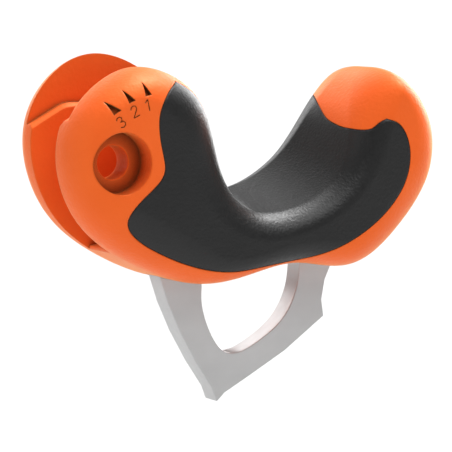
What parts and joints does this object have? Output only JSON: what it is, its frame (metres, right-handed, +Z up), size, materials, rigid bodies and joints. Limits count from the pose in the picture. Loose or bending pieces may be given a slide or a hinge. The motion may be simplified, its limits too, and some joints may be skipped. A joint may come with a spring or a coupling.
{
  "type": "adjustable hand rest",
  "caption": "Crescent hand rest for a climbing tool's handle: orange clevis body, black soft grip pad, steel spike plate with a clip-in eye and a sprung index pin.",
  "frame": {"origin": "on the handle bolt's axis, in the middle of the clevis slot", "axes": "+X from the clevis towards the horn, +Y from the bolt head's cheek to the nut's cheek, +Z up, away from the spike"},
  "size_m": [0.0864, 0.029, 0.0702],
  "materials": {
    "orange_nylon": "fine moulded grain",
    "soft_grip": "fine moulded grain",
    "steel": "satin",
    "zinc_steel": "zinc plated",
    "spring_steel": "drawn wire",
    "black_nylon": "moulded"
  },
  "bodies": {
    "rest": {"rest_body": "orange_nylon", "grip_pad": "soft_grip", "spike_plate": "steel", "spike_pin_left": "zinc_steel", "spike_pin_right": "zinc_steel", "clamp_nut": "zinc_steel", "nut_retainer": "black_nylon", "index_sleeve": "zinc_steel", "index_spring": "spring_steel", "index_plug": "zinc_steel"},
    "index": {"index_pin": "steel"}
  },
  "joints": [
    {"name": "index_slide", "type": "slide", "parent": "rest", "child": "index", "axis": [0, 1, 0], "range_m": [0, 0.0014], "stiffness_N_per_m": 1500, "springref_m": -0.002, "deforming": ["index_spring"]}
  ]
}
